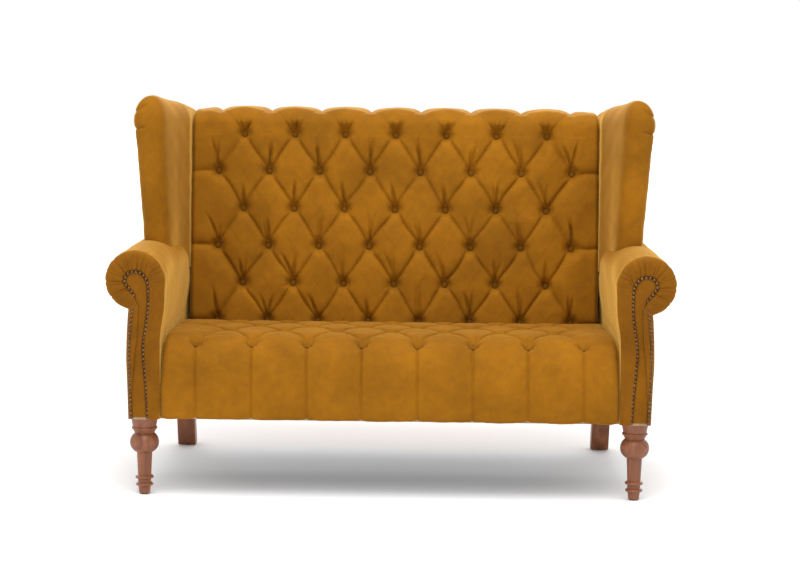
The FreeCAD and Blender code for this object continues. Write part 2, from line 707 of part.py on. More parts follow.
def spaced(points, pitch):
    """Places a whole number of equal steps, near pitch, along a line of short segments."""
    lengths = [math.dist(a, b) for a, b in zip(points, points[1:])]
    total = sum(lengths)
    count = round(total / pitch)
    found, walked, i = [], 0.0, 0
    for n in range(count + 1):
        target = total * n / count
        while i < len(lengths) - 1 and walked + lengths[i] < target:
            walked += lengths[i]
            i += 1
        t = (target - walked) / lengths[i]
        a, b = points[i], points[i + 1]
        found.append((a[0] + (b[0] - a[0]) * t, a[1] + (b[1] - a[1]) * t))
    return found


def scroll_board(nail_holes):
    """The board that gives the scroll its shape, behind the padded facing."""
    points, arcs = scroll_outline("scroll_padding")
    board = prism("arm_scroll_board_blank", "XZ_Plane", points, BOARD_FRONT, "scroll_board_thickness", arcs)
    pair(cut("arm_scroll_board", board, nail_holes))


def nail(x, z):
    """One domed nail, turned about its own axis: the head stands on the facing, the shank goes back."""
    radius, tall = value("nail_radius"), value("nail_height")
    shank, length = value("nail_shank_radius"), value("nail_shank_length")
    dome = (radius ** 2 + tall ** 2) / (2 * tall)
    half = math.asin(radius / dome) / 2
    tip = Vector(0, 0, tall)
    shoulder = Vector(dome * math.sin(half), 0, tall - dome + dome * math.cos(half))
    corners = [Vector(radius, 0, 0), Vector(shank, 0, 0), Vector(shank, 0, -length), Vector(0, 0, -length), tip]
    edges = [Part.Arc(tip, shoulder, corners[0]).toShape()]
    edges += [Part.LineSegment(a, b).toShape() for a, b in zip(corners, corners[1:])]
    turned = Part.Face(Part.Wire(edges)).revolve(Vector(0, 0, 0), Vector(0, 0, 1), 360)
    place = Vector(x, value(FRONT), z)
    turned.Placement = FreeCAD.Placement(place, FreeCAD.Rotation(Vector(0, 0, 1), Vector(0, -1, 0)))
    return turned


def nails_and_facing(facing):
    front, back = value(FRONT), Vector(0, 1, 0)
    shank, length = value("nail_shank_radius"), value("nail_shank_length")
    places = spaced(nail_path(), value("nail_pitch"))
    holes = solids("nail_holes", [Part.makeCylinder(shank, length, Vector(x, front, z), back) for x, z in places])
    pair(cut("arm_facing", facing, holes))
    pair(solids("facing_nails", [nail(x, z) for x, z in places]))
    return holes


# ---------------------------------------------------------------- legs
def front_leg(bolt):
    """A turned leg: tapered shaft with two beads, a ball, a collar and a flared top."""
    body = new("PartDesign::Body", "front_leg_blank")
    toe, shaft, bead = "leg_foot_radius", "leg_shaft_radius", "leg_bead_radius"
    neck, collar = "leg_neck_radius", "leg_collar_radius"
    neck_z = "(leg_height - leg_neck_drop)"
    ball_z = f"({neck_z} - leg_ball_height)"
    ball_foot = f"({shaft} + 2.8)"
    points = [("0", "glide_thickness"), (toe, "glide_thickness"), (f"{toe} + 2", "22"),
              (f"{bead} - 1.2", "24"), (f"{bead} - 1.2", "31"), (f"{toe} + 3", "33"), (f"{toe} + 3", "42"),
              (bead, "44"), (bead, "51"), (shaft, "53"), (ball_foot, ball_z), (neck, neck_z),
              (f"{collar} - 2.4", f"{neck_z} + 10"), (collar, f"{neck_z} + 12"), (collar, f"{neck_z} + 17"),
              (f"{collar} - 1.9", f"{neck_z} + 19"), ("leg_top_radius", "leg_height"), ("0", "leg_height")]
    # the ball's arc is centred where it meets both its foot and the neck
    half = f"(sqrt(pow({neck} - {ball_foot}; 2) + pow(leg_ball_height; 2)) / 2)"
    reach = f"(sqrt(pow(leg_ball_radius; 2) - pow({half}; 2)) / (2 * {half}))"
    centre_r = f"(({neck} + {ball_foot}) / 2 - leg_ball_height * {reach})"
    centre_z = f"(({neck_z} + {ball_z}) / 2 + ({neck} - {ball_foot}) * {reach})"
    arcs = {3: (f"{bead} - 3.2", "27.5", "4.03", 1), 7: (f"{bead} - 2", "47.5", "4.03", 1),
            10: (centre_r, centre_z, "leg_ball_radius", 1),
            13: (f"{collar} - 2.4", f"{neck_z} + 14.5", "3.47", 1)}
    sketch = add_sketch(body, "XZ_Plane", points, arcs)
    turned = body.newObject("PartDesign::Revolution", "front_leg_turned")
    turned.Profile = sketch
    turned.ReferenceAxis = (sketch, ["V_Axis"])
    turned.Angle = 360
    bind_base(body, FRONT_LEG_X, FRONT_LEG_Y, "0")
    doc.recompute()
    return pair(cut("front_leg", body, bolt))


def rear_leg(bolt):
    """A square leg that rakes backwards and tapers to its foot."""
    top_front = f"({REAR_LEG_Y} - rear_leg_width / 2)"
    foot_front = f"({REAR_LEG_Y} + rear_leg_splay - rear_leg_foot_width / 2)"
    points = [(top_front, "leg_height"), (foot_front, "glide_thickness"),
              (f"{foot_front} + rear_leg_foot_width", "glide_thickness"),
              (f"{top_front} + rear_leg_width", "leg_height")]
    blank = prism("rear_leg_blank", "YZ_Plane", points, f"{REAR_LEG_X} - rear_leg_width / 2", "rear_leg_width")
    return pair(cut("rear_leg", blank, bolt))


def leg_hardware():
    """Hanger bolts, the threaded sockets in the frame and the glides, each as a group of four."""
    places = {"front": (FRONT_LEG_X, FRONT_LEG_Y), "rear": (REAR_LEG_X, REAR_LEG_Y)}
    bolts, sockets, glides, rooms = [], [], [], {}
    for name, (x, y) in places.items():
        bolt = cylinder(f"{name}_bolt", x, y, "leg_height - bolt_down", "bolt_radius", "bolt_down + bolt_up")
        sleeve = cylinder(f"{name}_sleeve", x, y, "leg_height", "socket_radius", "socket_length")
        socket = cut(f"{name}_socket", sleeve, bolt)
        foot_y = y if name == "front" else f"({y} + rear_leg_splay)"
        glide = cylinder(f"{name}_glide", x, foot_y, "0", "glide_radius", "glide_thickness")
        bolts += [bolt, mirror(f"{name}_bolt_left", bolt)]
        sockets += [socket, mirror(f"{name}_socket_left", socket)]
        glides += [glide, mirror(f"{name}_glide_left", glide)]
        rooms[name] = (sleeve, bolt)
    keep(group("leg_bolts", *bolts))
    keep(group("leg_sockets", *sockets))
    keep(group("leg_glides", *glides))
    return rooms


def build():
    rooms = leg_hardware()
    front_leg(rooms["front"][1])
    rear_leg(rooms["rear"][1])
    _, rear_rail, side_blank = seat_frame(rooms["rear"])
    arm_post = front_post(rooms["front"])
    back_post, top_rail, low_rail = back_frame()
    behind = behind_back("behind_side_rail", "-cover_thickness - back_post_depth / 2")
    pair(cut("side_rail", side_blank, back_post, behind))
    corner_blocks(rear_rail, back_post)
    arm_top, _ = arm_rails(back_post)
    wing_post, wing_rail = wing_frame(back_post)
    webbing()
    seat_upholstery()
    back_upholstery(back_post, top_rail, low_rail)
    facing = arm_upholstery(arm_top, arm_post, back_post, low_rail, wing_post)
    wing_upholstery(wing_post, wing_rail, back_post, top_rail)
    dust_cover()
    holes = nails_and_facing(facing)
    scroll_board(holes)


def check():
    doc.removeObject(scratch.Name)
    doc.recompute()
    faults = [f"{o.Name}: {o.State}" for o in doc.Objects if {"Invalid", "Error"} & set(o.State)]
    for piece in exports:
        shape = piece.Shape
        if shape.isNull() or not shape.isValid() or not shape.Solids:
            faults.append(f"{piece.Label}: its shape is null, invalid or not solid")
    if faults:
        raise RuntimeError("\n".join(faults))


def export():
    os.makedirs("parts", exist_ok=True)
    for piece in exports:
        piece.Shape.exportStep(f"parts/{piece.Label}.step")


build()
check()
export()
print(len(exports), "sub-parts")
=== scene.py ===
"""The sofa's visible surfaces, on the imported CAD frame. Metres, +Z up, the front faces -Y."""
import json
import math

import bmesh
import bpy
import numpy as np
from mathutils import Matrix, Vector


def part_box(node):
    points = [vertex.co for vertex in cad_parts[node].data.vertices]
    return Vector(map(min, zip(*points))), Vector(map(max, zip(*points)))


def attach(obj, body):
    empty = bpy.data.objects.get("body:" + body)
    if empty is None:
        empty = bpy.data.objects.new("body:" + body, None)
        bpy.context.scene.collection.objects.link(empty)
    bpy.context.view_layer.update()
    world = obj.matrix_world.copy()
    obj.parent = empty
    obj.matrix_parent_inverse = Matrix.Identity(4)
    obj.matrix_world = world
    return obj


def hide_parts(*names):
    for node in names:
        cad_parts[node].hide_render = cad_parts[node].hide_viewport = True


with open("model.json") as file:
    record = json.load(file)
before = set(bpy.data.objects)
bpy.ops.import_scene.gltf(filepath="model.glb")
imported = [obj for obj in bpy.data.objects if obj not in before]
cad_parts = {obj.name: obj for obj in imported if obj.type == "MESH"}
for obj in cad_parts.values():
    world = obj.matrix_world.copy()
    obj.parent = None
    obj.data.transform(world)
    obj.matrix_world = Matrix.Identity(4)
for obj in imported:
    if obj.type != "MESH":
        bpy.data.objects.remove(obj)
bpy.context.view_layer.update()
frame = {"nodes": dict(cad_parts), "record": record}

# ---------------------------------------------------------------- sizes, in step with the CAD source
LEG_HEIGHT = 0.215
BACK_HEIGHT = 1.040
RAKE = math.radians(7.5)
BACK_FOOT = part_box("outside_back_cover")[1][1] - (BACK_HEIGHT - LEG_HEIGHT) * math.tan(RAKE)
BACK_THICKNESS = 0.205
# the visible back runs out to the wings, a little past its CAD pad
BACK_HALF = 0.6125
SEAT_HALF = 0.6270
PITCH = 0.152
SEAT_ROWS = (-0.382, -0.243, -0.104, 0.035)
BACK_ROW_PITCH = 0.1124
TOP_BACK_ROW = 0.088
WELL_DEPTH = 0.038
SCROLL_X, SCROLL_Z, SCROLL_R = 0.697, 0.599, 0.083
ARM_INNER, ARM_OUTER = 0.614, 0.717
NAMES = {1: "right", -1: "left"}


def raked(v, u):
    """(y, z) of a point u up along the raked back and v behind its rear face."""
    return (BACK_FOOT + u * math.sin(RAKE) + v * math.cos(RAKE),
            LEG_HEIGHT + u * math.cos(RAKE) - v * math.sin(RAKE))


# ---------------------------------------------------------------- mesh helpers
def finish_mesh(name, verts, faces, material):
    mesh = bpy.data.meshes.new(name)
    mesh.from_pydata([tuple(p) for p in np.asarray(verts).reshape(-1, 3)], [], faces)
    mesh.update()
    piece = bpy.data.objects.new(name, mesh)
    bpy.context.scene.collection.objects.link(piece)
    mesh.polygons.foreach_set("use_smooth", [True] * len(mesh.polygons))
    mesh.materials.append(material)
    return piece


def grid(name, points, material, flip=False):
    """A smooth sheet from an array of rows x columns x 3."""
    rows, cols = points.shape[:2]
    i = np.arange(rows - 1)[:, None] * cols + np.arange(cols - 1)[None, :]
    quads = np.stack([i, i + 1, i + 1 + cols, i + cols], axis=-1).reshape(-1, 4)
    if flip:
        quads = quads[:, ::-1]
    return finish_mesh(name, points, quads.tolist(), material)


def curve_through(knots, step):
    """Evenly spaced points on a smooth curve through the knots."""
    p = np.array(knots, float)
    p = np.vstack([2 * p[0] - p[1], p, 2 * p[-1] - p[-2]])
    out = []
    for a, b, c, d in zip(p, p[1:], p[2:], p[3:]):
        for t in np.linspace(0, 1, 40, endpoint=False):
            out.append(0.5 * (2 * b + (c - a) * t + (2 * a - 5 * b + 4 * c - d) * t ** 2
                              + (3 * b - a - 3 * c + d) * t ** 3))
    out.append(p[-2])
    return evenly(np.array(out), step)


def run_along(line):
    """Distance along a line to each of its points."""
    return np.concatenate([[0], np.cumsum(np.linalg.norm(np.diff(line, axis=0), axis=1))])


def evenly(line, step):
    run = run_along(line)
    count = max(2, int(round(run[-1] / step)) + 1)
    at = np.linspace(0, run[-1], count)
    return np.stack([np.interp(at, run, line[:, k]) for k in range(line.shape[1])], axis=1)


def smoothstep(x):
    x = np.clip(x, 0, 1)
    return x * x * (3 - 2 * x)


def round_off(gap, reach):
    """A quarter circle: 1 at an edge, 0 from reach inwards."""
    return 1 - np.sqrt(np.clip(1 - (1 - np.clip(gap / reach, 0, 1)) ** 2, 0, 1))


def rear_face(z, inset):
    """The raked rear plane of the frame at height z, moved forward by inset."""
    return BACK_FOOT + (z - LEG_HEIGHT) * math.tan(RAKE) - inset


def wander(x, t, size, seed):
    """Smooth noise between -1 and 1 over a surface, with features of about that size."""
    rng = np.random.RandomState(seed)
    total = np.zeros_like(x)
    for _ in range(6):
        angle, phase = rng.uniform(0, 2 * math.pi, 2)
        k = 2 * math.pi / size * rng.uniform(0.6, 1.4)
        total += np.sin(k * (x * math.cos(angle) + t * math.sin(angle)) + phase)
    return total / 3.5


# ---------------------------------------------------------------- buttoned surfaces
def nearest_column(x):
    """The nearest of the places across that lie half a pitch off the middle."""
    return PITCH * (np.round(x / PITCH - 0.5) + 0.5)


def lattice_relief(x, tau, row_gap, first, seed):
    """How deep in a fold each point of a diamond-buttoned surface lies, from 0 on a pillow to 1.

    x is the place across, tau the row number as a real number, row_gap the rows' spacing and first
    the parity of row 0: 0 for seven buttons, 1 for eight."""
    x = x + 0.004 * wander(x, tau * row_gap, 0.13, seed)
    tau_w = tau + 0.03 * wander(x, tau * row_gap, 0.11, seed + 1)
    xi = x / PITCH
    shifted = tau_w + first
    a, b = xi + shifted / 2, xi - shifted / 2
    spacing = PITCH * row_gap / math.hypot(row_gap, PITCH / 2)
    da = (a - np.round(a)) * spacing
    db = (b - np.round(b)) * spacing
    bound = 3 + 0.5 * (1 - np.abs(np.mod(shifted, 2) - 1))
    outside = np.abs(xi) > bound
    dz = (np.abs(xi) - bound) * spacing

    def fold(d, up):
        """A tuck: a thin crease in a shallow valley, steeper under the upper pillow."""
        valley = np.exp(-np.abs(d) / np.where(d * up > 0, 0.0100, 0.0260))
        crease = np.exp(-(np.abs(d) / np.where(d * up > 0, 0.0022, 0.0040)) ** 1.3)
        return 0.48 * valley + 0.52 * crease

    fa, fb = fold(da, 1), fold(db, -1)
    inner = 1 - (1 - fa) * (1 - fb)
    side = np.exp(-np.abs(dz) / 0.012)
    lines = np.where(outside, side, inner)
    # level pleats from the outermost buttons of the eight-button rows to the side
    odd = np.round((shifted - 1) / 2) * 2 + 1
    pleat = np.exp(-np.abs(shifted - odd) * row_gap / 0.009) * smoothstep((np.abs(xi) - 3.4) * 4)
    lines = np.maximum(lines, 0.75 * pleat)
    return lines


def well_field(x, t, spots, radius=0.0085, fall=0.0080):
    """1 on the floor of each button's well, falling off around it; spots are (x, t, weight)."""
    field = np.zeros_like(x)
    for bx, bt, weight in spots:
        near = (np.abs(x - bx) < 0.1) & (np.abs(t - bt) < 0.1)
        r = np.hypot(x[near] - bx, t[near] - bt)
        value = weight * np.exp(-(np.maximum(r - radius, 0) / fall) ** 1.15)
        field[near] = np.maximum(field[near], value)
    return field


def wrinkles(x, t, spots, angles, seed, count=4, depth=0.0026, reach=(0.03, 0.06)):
    """Fine creases that fan out from each button; angles is (middle, spread) in degrees."""
    rng = np.random.RandomState(seed)
    field = np.zeros_like(x)
    for bx, bt, _ in spots:
        near = (np.abs(x - bx) < 0.12) & (np.abs(t - bt) < 0.12)
        u, w = x[near] - bx, t[near] - bt
        total = np.zeros(u.shape)
        for _ in range(count):
            angle = math.radians(angles[0] + rng.uniform(-angles[1], angles[1]))
            length = rng.uniform(*reach)
            along = u * math.cos(angle) + w * math.sin(angle)
            across = -u * math.sin(angle) + w * math.cos(angle) + 2.5 * (along ** 2) * rng.uniform(-1, 1)
            across = across + 0.0015 * rng.uniform(-1, 1)
            width = np.where(across > 0, 0.0018, 0.0042) + 0.018 * np.maximum(along, 0)
            window = smoothstep((along - 0.008) / 0.01) * smoothstep((length - along) / (0.6 * length))
            total += depth * rng.uniform(0.5, 1.2) * window * np.exp(-(across / width) ** 2)
        field[near] += total
    return field


def sweep(path, normals, x, inward, down=None, drop=None):
    """Points of a surface: the path (y, z) swept along x and pushed in along its normals."""
    y = path[:, 0][:, None] - normals[:, 0][:, None] * inward
    z = path[:, 1][:, None] - normals[:, 1][:, None] * inward
    if drop is not None:
        y = y + down[0] * drop
        z = z + down[1] * drop
    return np.stack([np.broadcast_to(x, y.shape), y, z], axis=-1)


def path_normals(path, check):
    """Unit normals of a path in (y, z), on the side that faces forward at place number check."""
    tangent = np.gradient(path, axis=0)
    tangent /= np.linalg.norm(tangent, axis=1)[:, None]
    normals = np.stack([-tangent[:, 1], tangent[:, 0]], axis=1)
    return -normals if normals[check, 0] > 0 else normals


def row_x(even):
    count = 8 if even else 7
    return [PITCH * (i - (count - 1) / 2) for i in range(count)]


def tufted_back(material):
    """The deep-buttoned back: its face and the roll over the top, from the crease to the rear edge."""
    slope = (BACK_HEIGHT - LEG_HEIGHT) / math.cos(RAKE)
    rows_u = [slope - TOP_BACK_ROW - k * BACK_ROW_PITCH for k in range(6)]
    face, low = -BACK_THICKNESS, 0.178
    roll, crown = 0.062, 0.832
    line = [(face, low), (face, crown - roll - 0.02)]
    line += [(face + roll * (1 - math.cos(a)), crown - roll + roll * math.sin(a))
             for a in np.linspace(0.1, math.pi / 2, 14)]
    line += [(-0.10, crown + 0.006), (-0.055, crown + 0.009), (-0.030, crown + 0.006),
             (-0.014, crown - 0.001), (-0.006, crown - 0.010), (-0.004, slope - 0.022)]
    path_vu = evenly(np.array(line), 0.0030)
    t = run_along(path_vu) + low
    path = np.array([raked(v, u) for v, u in path_vu])
    normals = path_normals(path, 5)
    x = np.linspace(-BACK_HALF, BACK_HALF, 501)[None, :]
    xx, tt = np.broadcast_arrays(x, t[:, None])
    xx, tt = xx.copy(), tt.copy()
    top = rows_u[0]
    # row number counted from the top row, downwards; the virtual row -1 lies on top of the roll
    tau = (top - tt) / BACK_ROW_PITCH
    lines = lattice_relief(xx, tau, BACK_ROW_PITCH, 0, 3)
    spots = [(bx, rows_u[k], 1.0) for k in range(6) for bx in row_x(k % 2 == 1)]
    virtual = [(bx, top + 0.094, 0.42) for bx in row_x(True)]
    wells = well_field(xx, tt, spots)
    wells = np.maximum(wells, well_field(xx, tt, virtual, 0.002, 0.036))
    # the folds fade on top of the roll and end in short pleats at the rear edge
    over = 0.72 * smoothstep((tt - top - 0.012) / 0.035) + 0.28 * smoothstep((tt - top - 0.07) / 0.06)
    nearest = nearest_column(xx)
    rear_pleat = 0.015 * np.exp(-np.abs(xx - nearest) / 0.017) * smoothstep(
        (tt - top - 0.085) / 0.03) * smoothstep((0.59 - np.abs(xx)) / 0.03)
    amount = 0.0150 * (1 + 0.22 * wander(xx, tt, 0.3, 11))
    depth = amount * lines * (1 - over) + rear_pleat
    depth = depth + (WELL_DEPTH - depth) * wells
    depth += wrinkles(xx, tt, spots[:7], (90, 34), 21, 6, 0.0062, (0.040, 0.060)) * (1 - wells)
    depth += wrinkles(xx, tt, spots[7:], (90, 34), 22, 3, 0.0034, (0.030, 0.055)) * (1 - wells)
    depth += wrinkles(xx, tt, spots[7:], (94, 9), 24, 2, 0.0120, (0.075, 0.115)) * (1 - wells)
    depth += wrinkles(xx, tt, spots[7:], (-90, 70), 23, 3, 0.0022, (0.03, 0.05)) * (1 - wells)
    # the stuffing is a little uneven
    depth += 0.002 * np.abs(wander(xx, tt, 0.16, 5) * (1 - wells))
    # the sides round off towards the wings
    depth += 0.020 * round_off(BACK_HALF - np.abs(xx), 0.014)
    points = sweep(path, normals, x, depth)
    # the top corners drop as the roll ends
    corner = 0.010 * smoothstep((np.abs(xx) - 0.54) / 0.06) * smoothstep((tt - top) / 0.1)
    points[..., 2] -= corner
    return grid("tufted_back", points, material)


def tufted_seat(material):
    """The buttoned seat with its pleated front, from under the front rail to the crease at the back."""
    knots = [(-0.385, 0.2125), (-0.415, 0.2135), (-0.4275, 0.219), (-0.4315, 0.235), (-0.4325, 0.29),
             (-0.4300, 0.345), (-0.4235, 0.384), (-0.4060, 0.418), (-0.378, 0.438), (-0.340, 0.4465),
             (-0.28, 0.4490), (-0.18, 0.4460), (-0.06, 0.4400), (0.04, 0.4350), (0.095, 0.430),
             (0.130, 0.419), (0.150, 0.404), (0.172, 0.392), (0.200, 0.385), (0.226, 0.380)]
    path = curve_through(knots, 0.0034)
    t = run_along(path)
    normals = path_normals(path, 30)

    def along(y):
        pick = path[:, 1] > 0.40
        return float(np.interp(y, path[pick][:, 0], t[pick]))

    rows_t = [along(y) for y in SEAT_ROWS] + [along(0.150)]
    x = np.linspace(-SEAT_HALF, SEAT_HALF, 521)[None, :]
    xx, tt = np.broadcast_arrays(x, t[:, None])
    xx, tt = xx.copy(), tt.copy()
    tau = np.interp(tt, rows_t, range(5), left=0, right=4)
    gap = rows_t[1] - rows_t[0]
    tau = np.where(tt < rows_t[0], (tt - rows_t[0]) / gap, tau)
    lines = lattice_relief(xx, tau, gap, 1, 31)
    top_side = smoothstep((tt - rows_t[0] + 0.004) / 0.03)
    lines = lines * top_side
    spots = [(bx, rows_t[k], 1.0) for k in range(4) for bx in row_x(k % 2 == 0)]
    crease = [(bx, rows_t[4], 0.8) for bx in row_x(True)]
    wells = well_field(xx, tt, spots, 0.0085, 0.0085)
    wells = np.maximum(wells, well_field(xx, tt, crease, 0.006, 0.024))
    depth = 0.0100 * lines
    # pressed pleats run from the front row of buttons to the bottom edge
    nearest = nearest_column(xx)
    drift = 0.0018 * wander(nearest, tt, 0.35, 41)
    off = xx - nearest - drift
    below = smoothstep((rows_t[0] - tt + 0.004) / 0.012)
    sharp = np.where(off > 0, np.exp(-(np.abs(off) / 0.0022) ** 1.5), np.exp(-np.abs(off) / 0.0060))
    fade = 0.55 + 0.45 * smoothstep((tt - 0.05) / 0.25)
    depth += below * 0.0085 * sharp * fade
    # and the cloth swells a little between them
    apart = np.abs(off) / (PITCH / 2)
    depth += below * 0.0030 * (apart < 1) * (1 - np.sin(np.clip(apart, 0, 1) * math.pi / 2) ** 0.7)
    depth += wrinkles(xx, tt, spots[:8], (90, 48), 51, 5, 0.0040, (0.035, 0.06)) * (1 - wells)
    depth += wrinkles(xx, tt, spots[8:], (0, 180), 52, 5, 0.0024, (0.03, 0.05)) * (1 - wells)
    depth += wrinkles(xx, tt, crease, (-90, 75), 53, 6, 0.0045, (0.035, 0.075)) * (1 - wells)
    depth += 0.0012 * np.abs(wander(xx, tt, 0.07, 55))
    # the ends round off towards the arms, less so near the floor
    depth += 0.026 * round_off(SEAT_HALF - np.abs(xx), 0.022) * (0.35 + 0.65 * smoothstep((tt - 0.12) / 0.08))
    points = sweep(path, normals, x, depth * (1 - wells), (0.0, -1.0), wells * (WELL_DEPTH - 0.002))
    # the bottom edge waves where the cover is tacked under the rail
    edge = 1 - smoothstep(tt / 0.06)
    points[..., 2] += edge * 0.0022 * (1 + wander(xx, tt * 0, 0.11, 57))
    return grid("tufted_seat", points, material)


# ---------------------------------------------------------------- arms
def outline(step):
    """The right arm's front outline (x, z), from the inner foot over the scroll to the outer foot."""
    foot = 0.2165
    inner = [(0.6285, foot), (0.6282, 0.38), (0.6275, 0.43), (0.6250, 0.462), (0.6200, 0.492),
             (0.6160, 0.520), (0.6145, 0.550)]
    tuck = math.atan2(-0.0805, 0.020)
    arc = [(SCROLL_X + SCROLL_R * math.cos(a), SCROLL_Z + SCROLL_R * math.sin(a))
           for a in np.linspace(math.pi, tuck, 60)]
    outer = [(0.7190, 0.500), (0.7218, 0.45), (0.7230, 0.38), (0.7205, 0.30), (0.7180, foot)]
    return evenly(np.array(inner + arc + outer), step)


# the studded line: millimetres in from its outer edge, and the share of the way from the foot up to the
# scroll's middle
NAIL_INSETS = [(50, 0.02), (46.5, 0.21), (40.5, 0.4), (38, 0.53), (47, 0.69), (52, 0.815), (52, 0.93),
               (49, 0.99), (36, 1.043), (14, 1.061), (-5.5, 1.041), (-12.5, 0.99), (-0.5, 0.94),
               (12.5, 0.89), (9, 0.8), (0.5, 0.61), (0, 0.47), (1.2, 0.21), (4.3, 0.02)]


def nail_line(step):
    """The studded line's places (x, z), as the CAD source sets them out."""
    edge, rise = ARM_OUTER - 0.0056, SCROLL_Z - LEG_HEIGHT
    return curve_through([(edge - a / 1000, LEG_HEIGHT + b * rise) for a, b in NAIL_INSETS], step)


def matched(line, marks, count_between):
    """Points on line split at the points nearest the marks, with set counts between them."""
    at = [int(np.argmin(np.linalg.norm(line - np.array(m), axis=1))) for m in marks]
    out = []
    for i, j, n in zip(at, at[1:], count_between):
        part = line[i:j + 1] if j > i else line[j:i + 1][::-1]
        run = run_along(part)
        want = np.linspace(0, run[-1], n, endpoint=False)
        out.append(np.stack([np.interp(want, run, part[:, k]) for k in range(2)], axis=1))
    out.append(line[at[-1]][None, :])
    return np.vstack(out)


def pleat(s, places, power, width):
    """Sum of narrow notches at the places, each steeper on one side."""
    total = np.zeros_like(s)
    for place, k in zip(places, power):
        d = s - place
        total += k * np.exp(-(np.abs(d) / np.where(d > 0, 0.55 * width, 1.3 * width)))
    return total


def arm(side, material):
    """One skin for an arm: its rear end, the long roll, the padded front edge and the pleated facing."""
    rim = outline(0.001)
    studs = nail_line(0.001)
    counts = (120, 120, 110, 100, 90)
    outer_marks = [rim[0], (0.6143, 0.57), (SCROLL_X, 0.682), (0.780, SCROLL_Z), (0.7190, 0.508),
                   rim[-1]]
    inner_marks = [studs[0], (0.6594, 0.560), (0.6973, 0.6225), (0.7241, 0.5950), (0.6989, 0.5570),
                   studs[-1]]
    a, b = matched(rim, outer_marks, counts), matched(studs, inner_marks, counts)
    s = np.linspace(0, 1, len(a))
    centre = np.array([0.690, 0.58])
    tangent = np.gradient(a, axis=0)
    tangent /= np.linalg.norm(tangent, axis=1)[:, None]
    inward = np.stack([tangent[:, 1], -tangent[:, 0]], axis=1)
    rows = []

    def add(xz, y):
        rows.append(np.stack([xz[:, 0], np.broadcast_to(y, len(xz)), xz[:, 1]], axis=1))

    def clear(x):
        """The rear end stops before the outside back, and reaches further back beyond its edge."""
        return 0.0045 - 0.0065 * smoothstep((x - 0.7190) / 0.001)

    # the rear end, hidden inside and plain beyond the outside back
    for w in (0.0, 0.35, 0.7, 0.88):
        xz = centre + (a - centre) * w
        add(xz, rear_face(xz[:, 1], clear(xz[:, 0])))
    for angle in np.linspace(0, math.pi / 2, 5):
        xz = a + inward * 0.004 * (1 - math.sin(angle))
        add(xz, rear_face(xz[:, 1], clear(xz[:, 0]) + 0.004 * (1 - math.cos(angle))))
    # the gathers of the scroll, as places round the outline
    on_scroll = smoothstep((s - 0.21) * 12) * smoothstep((0.83 - s) * 12)
    rng = np.random.RandomState(71)
    places = np.linspace(0.225, 0.820, 19) + rng.uniform(-0.010, 0.010, 19)
    power = rng.uniform(0.35, 1.0, 19)
    gathers = 0.0030 * pleat(s, places, power, 0.0050) * on_scroll
    # the long roll, with a little slackness
    start, end = rear_face(a[:, 1], 0.016), -0.4220
    loose = 0.0015
    for w in np.linspace(0, 1, 90)[1:]:
        y = start + (end - start) * w
        slack = 0.0012 * wander(y, s * 1.4, 0.20, 61) + 0.0003 * wander(y, s * 1.4, 0.07, 62)
        run = gathers * np.exp(-(y - end) / 0.030)
        add(a + inward * (loose + slack + run)[:, None], y)
    # the padded front edge rolls round to the facing, as wide as the gap to the studs allows
    gap = np.linalg.norm(b - a, axis=1)
    broad = smoothstep((gap - 0.012) / 0.02)
    edge_r = np.minimum(0.030, 0.72 * gap)
    front_y = 0.4362 + 0.0040 * broad
    for angle in np.linspace(0, math.pi / 2, 14)[1:]:
        xz = a + inward * (loose + gathers * math.cos(angle) + edge_r * (1 - math.cos(angle)))[:, None]
        add(xz, end - (front_y + end - 1.2 * gathers) * math.sin(angle))
    # the facing, gathered in fine pleats to the studded line
    ring = a + inward * (loose + edge_r)[:, None]
    for w in np.linspace(0, 1, 26)[1:]:
        xz = ring + (b - ring) * w
        crease = pleat(s, places, power, 0.0050 + 0.0015 * w)
        sunk = (front_y - 0.4338) * smoothstep((w - 0.62 * broad) / (1 - 0.62 * broad))
        add(xz, -front_y + sunk + (0.0036 + 0.0022 * w) * crease * on_scroll)
    points = np.array(rows)
    points[..., 0] *= side
    return grid("arm_" + NAMES[side], points, material, flip=side < 0)


def arm_strip(side, material):
    """The narrow panel of the facing, inside the studded line."""
    studs = nail_line(0.001)
    top = int(np.argmax(studs[:, 1]))
    left, right = studs[:top + 1], studs[top:][::-1]
    counts = (100, 50)
    inner = matched(left, [left[0], (0.6594, 0.5500), left[-1]], counts)
    outer = matched(right, [right[0], (0.6989, 0.5570), right[-1]], counts)
    across = np.linspace(0, 1, 17)
    rows = []
    for p, q in zip(inner, outer):
        xz = p + (q - p) * across[:, None]
        room = np.linalg.norm(q - p)
        puff = 0.0035 * np.sqrt(np.clip(1 - (2 * across - 1) ** 2, 0, 1)) * min(1, room / 0.03)
        y = -0.4325 - puff
        rows.append(np.stack([xz[:, 0], y, xz[:, 1]], axis=1))
    points = np.array(rows)
    points[..., 0] *= side
    return grid("arm_strip_" + NAMES[side], points, material, flip=side > 0)


